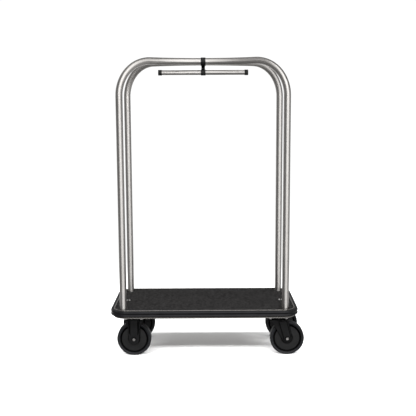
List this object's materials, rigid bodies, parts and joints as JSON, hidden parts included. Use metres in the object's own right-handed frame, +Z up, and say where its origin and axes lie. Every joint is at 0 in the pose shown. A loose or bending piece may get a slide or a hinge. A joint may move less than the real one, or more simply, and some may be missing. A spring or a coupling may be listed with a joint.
{
  "type": "luggage cart",
  "caption": "Hotel luggage cart with a carpeted bumper-edged deck on fixed and swivel casters, two bent tube arches and a garment rail clamped between them.",
  "frame": {"origin": "on the floor, under the centre of the deck", "axes": "+X along the deck towards the swivel caster end, +Y across the deck towards the rear long side, +Z up"},
  "size_m": [1.132, 0.558, 1.7343],
  "materials": {
    "tube": "satin brushed stainless",
    "fastener": "zinc-plated steel",
    "trim": "polished aluminium",
    "bumper": "satin black",
    "carpet": "charcoal needle felt",
    "board": "plywood",
    "frame_paint": "satin black powder coat",
    "caster": "satin black",
    "clamp": "satin black powder coat",
    "tyre": "matte black",
    "core": "matte black moulding",
    "cap": "black moulding",
    "bearing": "ground bearing steel"
  },
  "bodies": {
    "chassis": {"underframe": "frame_paint", "deck_board": "board", "deck_carpet": "carpet", "edge_trim": "trim", "bumper": "bumper", "deck_bolts": "fastener", "deck_washers": "fastener", "deck_nuts": "fastener", "board_screws": "fastener", "front_arch": "tube", "rear_arch": "tube", "foot_plugs": "fastener", "foot_bolts": "fastener", "foot_washers": "fastener", "arch_clamp": "clamp", "rail_clamp": "clamp", "clamp_screw": "clamp", "clamp_nut": "clamp", "hanging_rail": "tube", "rail_cap_left": "cap", "rail_cap_right": "cap", "caster_bolts": "fastener", "caster_nuts": "fastener", "fixed_bracket_front": "caster", "fixed_bracket_rear": "caster", "fixed_axle_front": "fastener", "fixed_axle_rear": "fastener", "fixed_sleeve_front": "fastener", "fixed_sleeve_rear": "fastener", "fixed_axle_nuts": "fastener", "swivel_plate_front": "caster", "swivel_plate_rear": "caster", "kingpin_front": "fastener", "kingpin_rear": "fastener"},
    "fork_front": {"swivel_fork_front": "caster", "swivel_balls_front": "bearing", "swivel_axle_front": "fastener", "swivel_sleeve_front": "fastener", "swivel_axle_nut_front": "fastener"},
    "fork_rear": {"swivel_fork_rear": "caster", "swivel_balls_rear": "bearing", "swivel_axle_rear": "fastener", "swivel_sleeve_rear": "fastener", "swivel_axle_nut_rear": "fastener"},
    "wheel_fixed_front": {"fixed_tyre_front": "tyre", "fixed_core_front": "core", "fixed_bearings_front": "bearing"},
    "wheel_fixed_rear": {"fixed_tyre_rear": "tyre", "fixed_core_rear": "core", "fixed_bearings_rear": "bearing"},
    "wheel_swivel_front": {"swivel_tyre_front": "tyre", "swivel_core_front": "core", "swivel_bearings_front": "bearing"},
    "wheel_swivel_rear": {"swivel_tyre_rear": "tyre", "swivel_core_rear": "core", "swivel_bearings_rear": "bearing"}
  },
  "joints": [
    {"name": "fixed_wheel_front_spin", "type": "hinge", "parent": "chassis", "child": "wheel_fixed_front", "pos_m": [-0.414, -0.158, 0.1], "axis": [0, 1, 0], "continuous": true},
    {"name": "caster_front_swivel", "type": "hinge", "parent": "chassis", "child": "fork_front", "pos_m": [0.432, -0.158, 0.2241], "axis": [0, 0, 1], "continuous": true},
    {"name": "swivel_wheel_front_spin", "type": "hinge", "parent": "fork_front", "child": "wheel_swivel_front", "pos_m": [0.486, -0.158, 0.1], "axis": [0, 1, 0], "continuous": true},
    {"name": "fixed_wheel_rear_spin", "type": "hinge", "parent": "chassis", "child": "wheel_fixed_rear", "pos_m": [-0.414, 0.158, 0.1], "axis": [0, 1, 0], "continuous": true},
    {"name": "caster_rear_swivel", "type": "hinge", "parent": "chassis", "child": "fork_rear", "pos_m": [0.432, 0.158, 0.2241], "axis": [0, 0, 1], "continuous": true},
    {"name": "swivel_wheel_rear_spin", "type": "hinge", "parent": "fork_rear", "child": "wheel_swivel_rear", "pos_m": [0.486, 0.158, 0.1], "axis": [0, 1, 0], "continuous": true}
  ]
}
